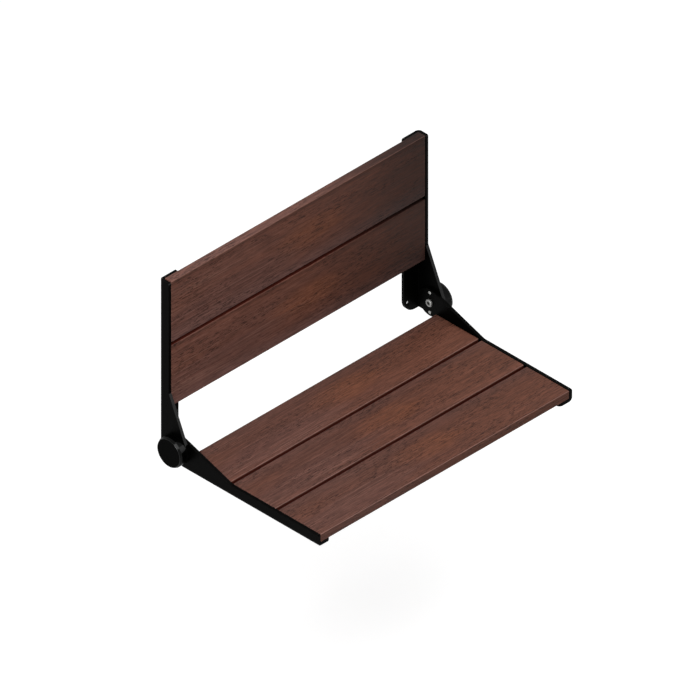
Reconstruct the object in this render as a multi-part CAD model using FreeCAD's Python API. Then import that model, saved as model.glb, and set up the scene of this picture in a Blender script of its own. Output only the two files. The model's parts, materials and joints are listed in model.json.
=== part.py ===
import FreeCAD, Part
import math
import os

Vector = FreeCAD.Vector

# A fold down wall seat, in millimetres. X runs along the wall, Y into the wall and Z up.
# The origin is the middle of the four wall bolts, on the wall's surface.

# Overall sizes
overall_width = 654.0
seat_reach = 393.7
frame_height = 391.6

# Bent steel plate of the wall brackets and the seat arms
plate = 6.35
bend_inside = 1.6
corner_radius = 3.0

# Timber slats
slat_thickness = 17.9
slat_recess = 0.05
slat_gap = 7.0
slat_end_gap = 0.6
slat_edge_radius = 2.2
back_slat_names = ["upper_back_slat", "lower_back_slat"]
seat_slat_names = ["rear_seat_slat", "middle_seat_slat", "front_seat_slat"]
back_above_brackets = 1.4
back_above_pivot = 82.1
seat_before_pivot = 17.3

# Wall brackets, whose round lobes reach a little below their flat bottoms
flange_width = 43.0
flange_corner_radius = 28.0
lobe_radius = 30.5
lobe_dip = 1.6
lean_above_pivot = 114.0
lean_radius = 8.0

# Holes for the four wall bolts
wall_hole_radius = 5.25
wall_hole_from_side = 32.3
wall_hole_from_bottom = 20.1
wall_hole_spacing = 82.0

# Seat arms
leg_width = 32.0
leg_corner_radius = 8.0
leg_before_pivot = 9.2
hub_radius = 28.2
kink_before_pivot = 132.5
kink_radius = 20.0

# Pivot
pivot_from_wall = 40.8
pivot_above_seat = 15.3
fold_angle = 90.0

# Stop pins, which run in two curved slots of the bracket
pin_orbit = 21.4
pin_radius = 3.5
pin_chamfer = 0.5
pin_proud = 0.2
slot_clearance = 0.3

# Sleeve and bush
sleeve_radius = 7.0
bush_wall = 2.0
bush_clearance = 0.05
push_fit = 0.02

# Friction washers
friction_thickness = 0.5
friction_inner_clearance = 0.2
friction_outer_radius = 16.8

# Bolt, washer, springs and nut
bolt_radius = 4.0
bolt_clearance = 0.1
bolt_head_radius = 7.1
bolt_head_height = 4.4
bolt_head_rim = 0.8
bolt_crown_radius = 3.9
bolt_crown_bulge = 0.5
bolt_socket_width = 5.0
bolt_socket_depth = 2.6
bolt_end_past_nut = 0.5
bolt_end_chamfer = 0.6
washer_radius = 7.5
washer_thickness = 1.6
spring_radius = 8.0
spring_sheet = 0.9
spring_rise = 0.35
nut_width = 13.0
nut_height = 4.5
nut_chamfer = 0.6
nut_collar_height = 1.5
nut_collar_radius = 5.6

# Stop disc and cap
disc_thickness = 5.0
cap_radius = 30.5
cap_face_radius = 28.6
cap_bevel_length = 4.6
cap_wall = 2.3
cap_face_thickness = 2.0
cap_reach = 17.0
cap_running_gap = 0.3
cap_edge_radius = 0.8

# Slat screws
screw_radius = 2.25
screw_head_radius = 4.5
screw_clearance = 0.05
screw_plate_clearance = 0.25
screw_cover = 4.0
screw_tip_length = 3.0
screw_tip_radius = 0.3
screw_socket_width = 3.0
screw_socket_depth = 1.6
screw_from_slat_edge = 22.0
back_screw_from_side = 26.0
seat_screw_from_side = 21.5

# Levels and planes that follow from the sizes above
half_width = overall_width / 2
frame_depth = plate + slat_thickness + slat_recess
bend_outside = plate + bend_inside
z_bracket_bottom = -(wall_hole_from_bottom + wall_hole_spacing / 2)
y_pivot = -pivot_from_wall
z_pivot = z_bracket_bottom + lobe_radius - lobe_dip
z_arm_top = z_pivot - pivot_above_seat
z_arm_bottom = z_arm_top - frame_depth
z_top = z_arm_bottom + frame_height
x_bracket = -half_width
x_arm = x_bracket + plate + friction_thickness
x_arm_inner = x_arm + plate
x_disc = x_bracket - friction_thickness
y_seat_front = -seat_reach
y_leg_rear = y_pivot - leg_before_pivot
bush_radius = sleeve_radius + bush_clearance + bush_wall

INWARD = Vector(1, 0, 0)
INTO_WALL = Vector(0, 1, 0)
UP = Vector(0, 0, 1)
OUTWARD = INWARD * -1
FORWARD = INTO_WALL * -1
DOWN = UP * -1


class Outline:
    """A closed outline of lines and arcs in the plane of two directions."""

    def __init__(self, origin, across, along, start):
        self.origin = origin
        self.across = across
        self.along = along
        self.first = self.place(start)
        self.last = self.first
        self.edges = []

    def place(self, point):
        return self.origin + self.across * point[0] + self.along * point[1]

    def line(self, *points):
        for point in points:
            end = self.place(point)
            self.edges.append(Part.LineSegment(self.last, end).toShape())
            self.last = end
        return self

    def arc(self, middle, end):
        end = self.place(end)
        self.edges.append(Part.Arc(self.last, self.place(middle), end).toShape())
        self.last = end
        return self

    def face(self):
        if self.last.distanceToPoint(self.first) > 1e-6:
            self.edges.append(Part.LineSegment(self.last, self.first).toShape())
        return Part.Face(Part.Wire(self.edges))


def polar(centre, radius, degrees):
    """The point of a circle at an angle, in a plane's two coordinates."""
    turn = math.radians(degrees)
    return centre[0] + radius * math.cos(turn), centre[1] + radius * math.sin(turn)


def tangent_angle(point, centre, radius, side):
    """The angle on a circle where a line from an outside point touches it, on side +1 or -1."""
    run, rise = point[0] - centre[0], point[1] - centre[1]
    spread = math.acos(radius / math.hypot(run, rise))
    return math.degrees(math.atan2(rise, run) + side * spread)


def rod(start, direction, radius, length):
    return Part.makeCylinder(radius, length, start, direction)


def lathe(origin, axis, points):
    """A turned piece: each point is a distance along the axis and a radius."""
    square = UP if abs(axis.z) < 0.5 else INWARD
    profile = Outline(origin, axis, square, points[0]).line(*points[1:]).face()
    return profile.revolve(origin, axis, 360)


def tube(start, direction, outer, inner, length):
    return rod(start, direction, outer, length).cut(rod(start, direction, inner, length))


def hexagon(start, direction, width, height):
    """A hexagonal prism, its width measured over the flats."""
    across = INTO_WALL if abs(direction.y) < 0.5 else INWARD
    along = direction.cross(across)
    corners = [polar((0, 0), width / math.sqrt(3), 60 * step) for step in range(6)]
    return Outline(start, across, along, corners[0]).line(*corners[1:]).face().extrude(direction * height)


def bent_plate(corner, first, first_leg, second, second_leg, run):
    """A plate bent once to an angle section: two legs from an outer corner, drawn out along a run."""
    outside, inside = bend_outside, plate
    half_bend = bend_outside * (1 - math.sqrt(0.5))
    half_hollow = bend_outside - bend_inside * math.sqrt(0.5)
    section = Outline(corner, first, second, (first_leg, 0))
    section.line((outside, 0)).arc((half_bend, half_bend), (0, outside))
    section.line((0, second_leg), (inside, second_leg), (inside, outside))
    section.arc((half_hollow, half_hollow), (outside, inside)).line((first_leg, inside))
    return section.face().extrude(run)


def corner_cutter(corner, first, second, radius, through):
    """What a rounded corner leaves out, between two directions that run from the corner into the plate."""
    margin = 1.0
    half_turn = radius * (1 - math.sqrt(0.5))
    waste = Outline(corner - through * 0.5, first, second, (-margin, -margin))
    waste.line((radius, -margin), (radius, 0)).arc((half_turn, half_turn), (0, radius))
    waste.line((-margin, radius))
    return waste.face().extrude(through)


def countersink(start, direction):
    """The hole of a slat screw through a plate, from the face where its head lies."""
    cone = screw_head_radius - screw_radius
    hole = screw_radius + screw_plate_clearance
    mouth = screw_head_radius + screw_clearance
    points = [(-1, 0), (-1, mouth), (screw_clearance, mouth), (cone - screw_plate_clearance, hole)]
    return lathe(start, direction, points + [(plate + 1, hole), (plate + 1, 0)])


def slat_screw(start, direction):
    """A countersunk timber screw with a hexagonal socket, its head flush at the start."""
    length = plate + slat_thickness - screw_cover
    cone = screw_head_radius - screw_radius
    points = [(0, 0), (0, screw_head_radius), (cone, screw_radius)]
    points += [(length - screw_tip_length, screw_radius), (length, screw_tip_radius), (length, 0)]
    socket = hexagon(start, direction, screw_socket_width, screw_socket_depth)
    return lathe(start, direction, points).cut(socket)


def screw_hole(start, direction):
    """The bore of a slat screw in a slat, from the slat's face."""
    depth = slat_thickness - screw_cover + screw_clearance
    return rod(start, direction, screw_radius + screw_clearance, depth)


def slat_spans(low, high, count):
    """The two edges of each of several slats that share a span with gaps between them."""
    width = (high - low - slat_gap * (count - 1)) / count
    return [(low + index * (width + slat_gap), low + index * (width + slat_gap) + width)
            for index in range(count)]


def back_spans():
    """The lower and upper edges of the back slats, from the top down."""
    spans = slat_spans(z_pivot + back_above_pivot, z_top + back_above_brackets, len(back_slat_names))
    return list(reversed(spans))


def seat_spans():
    """The front and rear edges of the seat slats, from the rear to the front."""
    spans = slat_spans(y_seat_front, y_pivot - seat_before_pivot, len(seat_slat_names))
    return list(reversed(spans))


def screw_places(span):
    return span[0] + screw_from_slat_edge, span[1] - screw_from_slat_edge


def back_screw_starts():
    """Where the back slats' screws start, on the wall side of the left flange."""
    x = x_bracket + back_screw_from_side
    return [Vector(x, 0, z) for span in back_spans() for z in screw_places(span)]


def seat_screw_starts():
    """Where the seat slats' screws start, under the level leg of the left arm."""
    x = x_arm + seat_screw_from_side
    return [Vector(x, y, z_arm_bottom) for span in seat_spans() for y in screw_places(span)]


def rounded_slat(corner, size_x, size_y, size_z):
    slat = Part.makeBox(size_x, size_y, size_z, corner)
    return slat.makeFillet(slat_edge_radius, slat.Edges)


def back_slat(span):
    half_length = half_width - plate - slat_end_gap
    corner = Vector(-half_length, -plate - slat_thickness, span[0])
    slat = rounded_slat(corner, 2 * half_length, slat_thickness, span[1] - span[0])
    starts = [start for start in back_screw_starts() if span[0] < start.z < span[1]]
    holes = [screw_hole(start + FORWARD * plate, FORWARD) for start in starts]
    return slat.cut(holes + [mirrored(hole) for hole in holes])


def seat_slat(span):
    half_length = -x_arm_inner - slat_end_gap
    corner = Vector(-half_length, span[0], z_arm_bottom + plate)
    slat = rounded_slat(corner, 2 * half_length, span[1] - span[0], slat_thickness)
    starts = [start for start in seat_screw_starts() if span[0] < start.y < span[1]]
    holes = [screw_hole(start + UP * plate, UP) for start in starts]
    return slat.cut(holes + [mirrored(hole) for hole in holes])


def mirrored(shape):
    """The right-hand twin of a left-hand piece."""
    return shape.mirror(Vector(0, 0, 0), INWARD)


def side_view(start):
    """An outline seen from the side: each point is a Y and a Z."""
    return Outline(Vector(x_bracket - 1, 0, 0), INTO_WALL, UP, start)


def lobe_dip_run():
    """How far behind the pivot the round lobe meets the bracket's flat bottom."""
    return math.sqrt(lobe_radius ** 2 - (lobe_radius - lobe_dip) ** 2)


def bracket_side():
    """The bracket's outline from the side: an upright strip that leans forward into a round lobe."""
    pivot = (y_pivot, z_pivot)
    lean = (-frame_depth, z_pivot + lean_above_pivot)
    touch = tangent_angle(lean, pivot, lobe_radius, 1)
    foot = 360 - math.degrees(math.acos(lobe_dip_run() / lobe_radius))
    outline = side_view((0, z_top)).line((-frame_depth, z_top), lean, polar(pivot, lobe_radius, touch))
    outline.arc(polar(pivot, lobe_radius, (touch + foot) / 2), polar(pivot, lobe_radius, foot))
    outline.line((0, z_bracket_bottom))
    side = outline.face().extrude(INWARD * (flange_width + 2))
    return side.makeFillet(lean_radius, [edge_at(side, lean)])


def edge_at(shape, place):
    """The edge along X whose Y and Z are given."""
    for edge in shape.Edges:
        ends = [vertex.Point for vertex in edge.Vertexes]
        if all(math.hypot(end.y - place[0], end.z - place[1]) < 1e-4 for end in ends):
            return edge


def pin_slot(middle):
    """A curved slot through the bracket for a stop pin that rests at an angle and folds towards the wall."""
    half = pin_radius + slot_clearance
    pivot = (y_pivot, z_pivot)
    ends = (middle, middle - fold_angle)
    centre = middle - fold_angle / 2
    slot = side_view(polar(pivot, pin_orbit + half, ends[0]))
    slot.arc(polar(pivot, pin_orbit + half, centre), polar(pivot, pin_orbit + half, ends[1]))
    turn = polar(pivot, pin_orbit, ends[1])
    slot.arc(polar(turn, half, ends[1] - 90), polar(pivot, pin_orbit - half, ends[1]))
    slot.arc(polar(pivot, pin_orbit - half, centre), polar(pivot, pin_orbit - half, ends[0]))
    turn = polar(pivot, pin_orbit, ends[0])
    slot.arc(polar(turn, half, ends[0] + 90), polar(pivot, pin_orbit + half, ends[0]))
    return slot.face().extrude(INWARD * (plate + 2))


def wall_bracket():
    """An angle of bent plate: a flange on the wall and a side plate that carries the hinge."""
    corner = Vector(x_bracket, 0, z_bracket_bottom)
    side_leg = pivot_from_wall + lobe_radius + 1
    below = DOWN * (lobe_dip + 1)
    height = UP * (z_top + 1 - z_bracket_bottom) - below
    bracket = bent_plate(corner + below, INWARD, flange_width, FORWARD, side_leg, height)
    bracket = bracket.common(bracket_side())
    flange_end = Vector(x_bracket + flange_width, 0, 0)
    front_top = Vector(x_bracket, -frame_depth, z_top)
    deep, wide = INTO_WALL * 4 * plate, INWARD * 4 * plate
    cuts = [corner_cutter(flange_end + UP * z_bracket_bottom, OUTWARD, UP, flange_corner_radius, deep),
            corner_cutter(flange_end + UP * z_top, OUTWARD, DOWN, corner_radius, deep),
            corner_cutter(front_top, INTO_WALL, DOWN, corner_radius, wide)]
    pivot = Vector(x_bracket - 1, y_pivot, z_pivot)
    cuts.append(rod(pivot, INWARD, bush_radius + push_fit, plate + 2))
    cuts += [pin_slot(90), pin_slot(270)]
    for rise in (0, wall_hole_spacing):
        place = corner + INWARD * wall_hole_from_side + UP * (wall_hole_from_bottom + rise)
        cuts.append(rod(place + INTO_WALL, FORWARD, wall_hole_radius, plate + 2))
    cuts += [countersink(start, FORWARD) for start in back_screw_starts()]
    return bracket.cut(cuts)


def arm_side():
    """The arm's outline from the side: a bar with a round hub at the pivot and a sloping shoulder."""
    pivot = (y_pivot, z_pivot)
    kink = (y_pivot - kink_before_pivot, z_arm_top)
    touch = tangent_angle(kink, pivot, hub_radius, -1) % 360
    rear = 180 + math.degrees(math.acos(leg_before_pivot / hub_radius))
    hub_back = polar(pivot, hub_radius, (touch + rear - 360) / 2)
    outline = side_view((y_seat_front, z_arm_bottom)).line((y_seat_front, z_arm_top), kink)
    outline.line(polar(pivot, hub_radius, touch)).arc(hub_back, polar(pivot, hub_radius, rear))
    outline.line((y_leg_rear, z_arm_bottom))
    side = outline.face().extrude(INWARD * (leg_width + plate * 2 + 2))
    return side.makeFillet(kink_radius, [edge_at(side, kink)])


def seat_arm():
    """An angle of bent plate: an upright leg with the hub and a level leg that carries the slats."""
    corner = Vector(x_arm, y_seat_front, z_arm_bottom)
    upright = z_pivot + hub_radius - z_arm_bottom + 1
    run = INTO_WALL * (seat_reach - pivot_from_wall + hub_radius + 1)
    arm = bent_plate(corner, INWARD, leg_width, UP, upright, run).common(arm_side())
    leg_end = Vector(x_arm + leg_width, 0, z_arm_bottom)
    tall, wide = UP * 4 * plate, INWARD * 4 * plate
    cuts = [corner_cutter(leg_end + INTO_WALL * y_seat_front, OUTWARD, INTO_WALL, leg_corner_radius, tall),
            corner_cutter(leg_end + INTO_WALL * y_leg_rear, OUTWARD, FORWARD, leg_corner_radius, tall),
            corner_cutter(Vector(x_arm, y_seat_front, z_arm_top), INTO_WALL, DOWN, corner_radius, wide)]
    pivot = Vector(x_arm - 1, y_pivot, z_pivot)
    cuts.append(rod(pivot, INWARD, bolt_radius + bolt_clearance, plate + 2))
    for side in (UP, DOWN):
        cuts.append(rod(pivot + side * pin_orbit, INWARD, pin_radius + push_fit, plate + 2))
    cuts += [countersink(start, UP) for start in seat_screw_starts()]
    return arm.cut(cuts)


def pivot_at(x):
    return Vector(x, y_pivot, z_pivot)


def pivot_bush():
    """The plain bush in the bracket's bore."""
    return tube(pivot_at(x_bracket), INWARD, bush_radius, sleeve_radius + bush_clearance, plate)


def pivot_sleeve():
    """The sleeve round the bolt, from the stop disc to the arm, which turns in the bush."""
    length = plate + 2 * friction_thickness
    return tube(pivot_at(x_disc), INWARD, sleeve_radius, bolt_radius + bolt_clearance, length)


def friction_washers():
    """The thin washers on both faces of the bracket."""
    inner = sleeve_radius + friction_inner_clearance
    starts = [pivot_at(x_disc), pivot_at(x_bracket + plate)]
    washers = [tube(start, INWARD, friction_outer_radius, inner, friction_thickness) for start in starts]
    return Part.makeCompound(washers)


def stop_pins():
    """Two pins through the arm, the bracket's slots and the stop disc, above and below the bolt."""
    length = pin_proud + plate * 2 + friction_thickness * 2 + disc_thickness
    points = [(0, 0), (0, pin_radius - pin_chamfer), (pin_chamfer, pin_radius)]
    points += [(length - pin_chamfer, pin_radius), (length, pin_radius - pin_chamfer), (length, 0)]
    starts = [pivot_at(x_arm_inner + pin_proud) + side * pin_orbit for side in (UP, DOWN)]
    return Part.makeCompound([lathe(start, OUTWARD, points) for start in starts])


def stop_disc():
    """The round plate outside the bracket, which the bolt and both pins hold to the arm."""
    start = pivot_at(x_disc)
    disc = rod(start, OUTWARD, cap_radius - cap_wall - push_fit, disc_thickness)
    holes = [rod(start + INWARD, OUTWARD, bolt_radius + bolt_clearance, disc_thickness + 2)]
    for side in (UP, DOWN):
        place = start + INWARD + side * pin_orbit
        holes.append(rod(place, OUTWARD, pin_radius + push_fit, disc_thickness + 2))
    return disc.cut(holes)


def spring_stack_height():
    return 2 * (spring_sheet + spring_rise)


def disc_springs():
    """Two conical spring washers, rim to rim, between the stop disc and the nut."""
    inner = bolt_radius + bolt_clearance
    step = spring_sheet + spring_rise
    low = [(0, inner), (spring_sheet, inner), (step, spring_radius), (spring_rise, spring_radius)]
    high = [(2 * step - along, radius) for along, radius in low]
    start = pivot_at(x_disc - disc_thickness)
    return Part.makeCompound([lathe(start, OUTWARD, points) for points in (low, high)])


def lock_nut():
    """A hexagonal nut with a round locking collar."""
    start = pivot_at(x_disc - disc_thickness - spring_stack_height())
    blank_radius = nut_width / math.sqrt(3)
    height = nut_height + nut_collar_height
    points = [(0, 0), (0, blank_radius - nut_chamfer), (nut_chamfer, blank_radius)]
    points += [(nut_height - nut_chamfer, blank_radius), (nut_height, blank_radius - nut_chamfer)]
    points += [(nut_height, nut_collar_radius), (height, nut_collar_radius - nut_chamfer), (height, 0)]
    nut = lathe(start, OUTWARD, points).common(hexagon(start, OUTWARD, nut_width, height))
    return nut.cut(rod(start + INWARD, OUTWARD, bolt_radius + push_fit, height + 2))


def bolt_washer():
    start = pivot_at(x_arm_inner)
    return tube(start, INWARD, washer_radius, bolt_radius + bolt_clearance, washer_thickness)


def pivot_bolt():
    """A button head bolt with a hexagonal socket, its head on the arm's inner face."""
    seat = pivot_at(x_arm_inner + washer_thickness)
    reach = washer_thickness + 2 * plate + 2 * friction_thickness + disc_thickness
    length = reach + spring_stack_height() + nut_height + nut_collar_height + bolt_end_past_nut
    shoulder = ((bolt_head_rim + bolt_head_height) / 2 + bolt_crown_bulge,
                (bolt_head_radius + bolt_crown_radius) / 2 + bolt_crown_bulge)
    profile = Outline(seat, INWARD, UP, (-length, 0)).line((-length, bolt_radius - bolt_end_chamfer))
    profile.line((bolt_end_chamfer - length, bolt_radius), (0, bolt_radius), (0, bolt_head_radius))
    profile.line((bolt_head_rim, bolt_head_radius)).arc(shoulder, (bolt_head_height, bolt_crown_radius))
    bolt = profile.line((bolt_head_height, 0)).face().revolve(seat, INWARD, 360)
    mouth = seat + INWARD * bolt_head_height
    return bolt.cut(hexagon(mouth, OUTWARD, bolt_socket_width, bolt_socket_depth))


def hinge_cap():
    """The round cap over the hinge: a cup with a bevelled rim, pushed over the stop disc."""
    start = pivot_at(x_bracket)
    rim, face, edge = cap_running_gap, cap_reach, cap_edge_radius
    bore = cap_radius - cap_wall
    bevel = cap_reach - cap_bevel_length
    soft = edge * (1 - math.sqrt(0.5))
    cup = Outline(start, OUTWARD, UP, (rim, bore)).line((rim, cap_radius), (bevel, cap_radius))
    cup.line((face - edge, cap_face_radius))
    cup.arc((face - soft, cap_face_radius - soft), (face, cap_face_radius - edge))
    cup.line((face, 0), (face - cap_face_thickness, 0), (face - cap_face_thickness, bore))
    return cup.face().revolve(start, OUTWARD, 360)


def save(node, shape):
    shape.exportStep("parts/" + node + ".step")


def main():
    os.makedirs("parts", exist_ok=True)
    for name, span in zip(back_slat_names, back_spans()):
        save(name, back_slat(span))
    for name, span in zip(seat_slat_names, seat_spans()):
        save(name, seat_slat(span))
    back_screws = [slat_screw(start, FORWARD) for start in back_screw_starts()]
    seat_screws = [slat_screw(start, UP) for start in seat_screw_starts()]
    for name, screws in (("back_slat_screws", back_screws), ("seat_slat_screws", seat_screws)):
        save(name, Part.makeCompound(screws + [mirrored(screw) for screw in screws]))
    pieces = [("wall_bracket", wall_bracket()), ("seat_arm", seat_arm()), ("pivot_bush", pivot_bush()),
              ("pivot_sleeve", pivot_sleeve()), ("friction_washers", friction_washers()),
              ("stop_pins", stop_pins()), ("stop_disc", stop_disc()), ("disc_springs", disc_springs()),
              ("lock_nut", lock_nut()), ("bolt_washer", bolt_washer()), ("pivot_bolt", pivot_bolt()),
              ("hinge_cap", hinge_cap())]
    for name, shape in pieces:
        save("left_" + name, shape)
        save("right_" + name, mirrored(shape))


main()
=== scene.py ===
"""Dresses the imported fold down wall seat: timber, black coat, bright steel, studio and camera.

Lengths in the classes below are millimetres, and meshes are written in metres in the part's own
frame: X along the wall, Y into the wall and Z up.
"""

from __future__ import annotations

import json
import logging
import math
from collections.abc import Mapping, Sequence
from dataclasses import dataclass, field
from enum import Enum
from typing import Any

import bmesh
import bpy
import numpy as np
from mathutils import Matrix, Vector

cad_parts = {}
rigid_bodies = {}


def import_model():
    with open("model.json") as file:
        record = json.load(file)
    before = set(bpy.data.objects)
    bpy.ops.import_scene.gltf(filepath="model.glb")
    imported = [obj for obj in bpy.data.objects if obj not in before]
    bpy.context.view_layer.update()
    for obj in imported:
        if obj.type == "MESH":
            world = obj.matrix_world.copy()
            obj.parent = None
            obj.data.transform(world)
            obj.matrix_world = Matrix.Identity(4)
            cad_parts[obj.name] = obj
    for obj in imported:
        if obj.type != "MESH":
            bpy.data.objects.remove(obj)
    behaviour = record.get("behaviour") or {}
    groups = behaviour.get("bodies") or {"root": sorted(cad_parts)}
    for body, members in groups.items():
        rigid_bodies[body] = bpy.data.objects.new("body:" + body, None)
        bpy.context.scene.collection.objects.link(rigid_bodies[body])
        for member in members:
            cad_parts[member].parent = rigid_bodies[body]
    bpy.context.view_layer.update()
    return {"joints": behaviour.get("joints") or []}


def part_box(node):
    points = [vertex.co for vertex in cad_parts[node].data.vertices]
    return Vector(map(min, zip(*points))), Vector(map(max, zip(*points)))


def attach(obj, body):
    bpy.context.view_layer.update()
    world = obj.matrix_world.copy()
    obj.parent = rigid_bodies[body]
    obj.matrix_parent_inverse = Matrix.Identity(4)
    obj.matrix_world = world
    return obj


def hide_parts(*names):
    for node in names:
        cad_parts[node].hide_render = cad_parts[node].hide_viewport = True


LOG = logging.getLogger("wall_seat")
MM = 0.001
MERGE_DISTANCE = 1e-7
BACK_SLATS = ("upper_back_slat", "lower_back_slat")
SEAT_SLATS = ("rear_seat_slat", "middle_seat_slat", "front_seat_slat")

Colour = tuple[float, float, float]
Triple = tuple[float, float, float]


def from_srgb(red: int, green: int, blue: int) -> Colour:
    """The linear colour of a display colour of 0 to 255: the inverse of the sRGB curve."""
    steps = np.array([red, green, blue]) / 255
    linear = np.where(steps <= 0.04045, steps / 12.92, ((steps + 0.055) / 1.055) ** 2.4)
    return tuple(float(part) for part in linear)


class Body(Enum):
    """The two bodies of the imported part."""

    WALL_FRAME = "wall_frame"
    SEAT = "seat"


class Slot(Enum):
    """The record's material slots."""

    FRAME = "frame_coat"
    CAP = "cap_coat"
    TIMBER = "slat_timber"
    STEEL = "bright_steel"
    PLASTIC = "bush_plastic"


class Side(Enum):
    """The two ends of the seat, as a sign along X."""

    LEFT = -1
    RIGHT = 1

    def node(self, piece: str) -> str:
        """The name of this end's copy of a piece."""
        return f"{self.name.lower()}_{piece}"


class Field:
    """A shader value that takes part in arithmetic, each step adding one Math node."""

    def __init__(self, graph: Graph, socket: bpy.types.NodeSocket) -> None:
        """Wraps a socket of a graph."""
        self.graph = graph
        self.socket = socket

    def math(self, operation: str, *others: Field | float) -> Field:
        """This value and others through one Math node."""
        values = dict(enumerate((self, *others)))
        return self.graph.value("ShaderNodeMath", {"operation": operation}, values)

    def __add__(self, other: Field | float) -> Field:
        """The sum."""
        return self.math("ADD", other)

    def __sub__(self, other: Field | float) -> Field:
        """The difference."""
        return self.math("SUBTRACT", other)

    def __mul__(self, other: Field | float) -> Field:
        """The product."""
        return self.math("MULTIPLY", other)

    def __truediv__(self, other: Field | float) -> Field:
        """The quotient."""
        return self.math("DIVIDE", other)

    def __pow__(self, other: float) -> Field:
        """The power."""
        return self.math("POWER", other)

    def __radd__(self, other: float) -> Field:
        """The sum with a number on the left."""
        return self.math("ADD", other)

    def __rsub__(self, other: float) -> Field:
        """A number less this value."""
        return self.math("MULTIPLY_ADD", -1.0, other)

    def __rmul__(self, other: float) -> Field:
        """The product with a number on the left."""
        return self.math("MULTIPLY", other)

    def __abs__(self) -> Field:
        """The value without its sign."""
        return self.math("ABSOLUTE")

    def root(self) -> Field:
        """The square root."""
        return self.math("SQRT")

    def ramp(self, low: float, high: float) -> Field:
        """0 below one level, 1 above another, and a smooth step between them."""
        settings = {"interpolation_type": "SMOOTHSTEP"}
        values = {0: self, 1: low, 2: high, 3: 0.0, 4: 1.0}
        return self.graph.value("ShaderNodeMapRange", settings, values)


class Graph:
    """The node tree of a material or of the world."""

    def __init__(self, owner: bpy.types.Material | bpy.types.World) -> None:
        """Empties the owner's tree."""
        owner.use_nodes = True
        self.owner = owner
        self.tree = owner.node_tree
        self.tree.nodes.clear()

    @classmethod
    def material(cls, name: str) -> Graph:
        """A new material's tree."""
        return cls(bpy.data.materials.new(name))

    def node(
        self,
        kind: str,
        settings: Mapping[str, Any] | None = None,
        values: Mapping[str | int, Any] | None = None,
    ) -> bpy.types.Node:
        """Adds a node.

        Args:
            kind: The node's type.
            settings: Its properties, which are set first.
            values: A number, colour, vector, socket or Field for each named or numbered input.

        Returns:
            The node.
        """
        made = self.tree.nodes.new(kind)
        for name, setting in (settings or {}).items():
            setattr(made, name, setting)
        for name, value in (values or {}).items():
            socket = made.inputs[name]
            if isinstance(value, Field):
                value = value.socket
            if isinstance(value, bpy.types.NodeSocket):
                self.tree.links.new(value, socket)
            elif socket.type == "RGBA":
                socket.default_value = (*value, 1.0)
            else:
                socket.default_value = value
        return made

    def value(
        self,
        kind: str,
        settings: Mapping[str, Any] | None = None,
        values: Mapping[str | int, Any] | None = None,
        output: str | int = 0,
    ) -> Field:
        """Adds a node and returns one of its outputs as a value."""
        return Field(self, self.node(kind, settings, values).outputs[output])

    def place(self) -> bpy.types.NodeSocket:
        """The piece's own coordinates in metres."""
        return self.node("ShaderNodeTexCoord").outputs["Object"]

    def split(self, vector: bpy.types.NodeSocket | None = None) -> tuple[Field, Field, Field]:
        """The three parts of a vector, or of the piece's own coordinates."""
        values = {0: self.place() if vector is None else vector}
        return tuple(Field(self, part) for part in self.node("ShaderNodeSeparateXYZ", {}, values).outputs)

    def mark(self, name: str) -> Field:
        """The value of one of the mesh's point attributes."""
        return self.value("ShaderNodeAttribute", {"attribute_name": name}, {}, "Fac")

    def stretched(self, scale: Triple, shift: Triple = (0.0, 0.0, 0.0)) -> bpy.types.NodeSocket:
        """The piece's coordinates, shifted and then scaled along each axis."""
        offset = tuple(part * by for part, by in zip(shift, scale))
        values = {"Vector": self.place(), "Location": offset, "Scale": scale}
        return self.node("ShaderNodeMapping", {"vector_type": "POINT"}, values).outputs[0]

    def noise(
        self,
        where: bpy.types.NodeSocket,
        detail: float = 2.0,
        roughness: float = 0.5,
        warp: float = 0.0,
    ) -> Field:
        """Soft noise of 0 to 1 with features of about one unit of the coordinates."""
        values = {
            "Vector": where,
            "Scale": 1.0,
            "Detail": detail,
            "Roughness": roughness,
            "Distortion": warp,
        }
        return self.value("ShaderNodeTexNoise", {"noise_dimensions": "3D"}, values)

    def mottle(self, scale: float, detail: float = 2.0, roughness: float = 0.5) -> Field:
        """Noise alike in all directions, with about so many features in each metre."""
        return self.noise(self.stretched((scale,) * 3), detail, roughness)

    def blend(self, share: Field | float, low: Any, high: Any, how: str = "MIX") -> bpy.types.NodeSocket:
        """Two colours mixed by a share."""
        settings = {"data_type": "RGBA", "blend_type": how, "clamp_factor": True}
        return self.node("ShaderNodeMix", settings, {0: share, 6: low, 7: high}).outputs[2]

    def bump(self, height: Field, depth: float, beneath: Any = None) -> bpy.types.NodeSocket:
        """A normal from a height field of 0 to 1 that is so many metres deep."""
        values = {"Height": height, "Distance": depth, "Strength": 1.0}
        if beneath is not None:
            values["Normal"] = beneath
        return self.node("ShaderNodeBump", {}, values).outputs[0]

    def finish(self, shader: bpy.types.Node) -> bpy.types.Material | bpy.types.World:
        """Ends the tree with a shader and returns what it belongs to."""
        of_world = isinstance(self.owner, bpy.types.World)
        kind = "ShaderNodeOutputWorld" if of_world else "ShaderNodeOutputMaterial"
        self.node(kind, {}, {"Surface": shader.outputs[0]})
        return self.owner

    def surface(self, values: Mapping[str, Any]) -> bpy.types.Material:
        """Ends the tree with one principled surface."""
        return self.finish(self.node("ShaderNodeBsdfPrincipled", {}, values))


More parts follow.
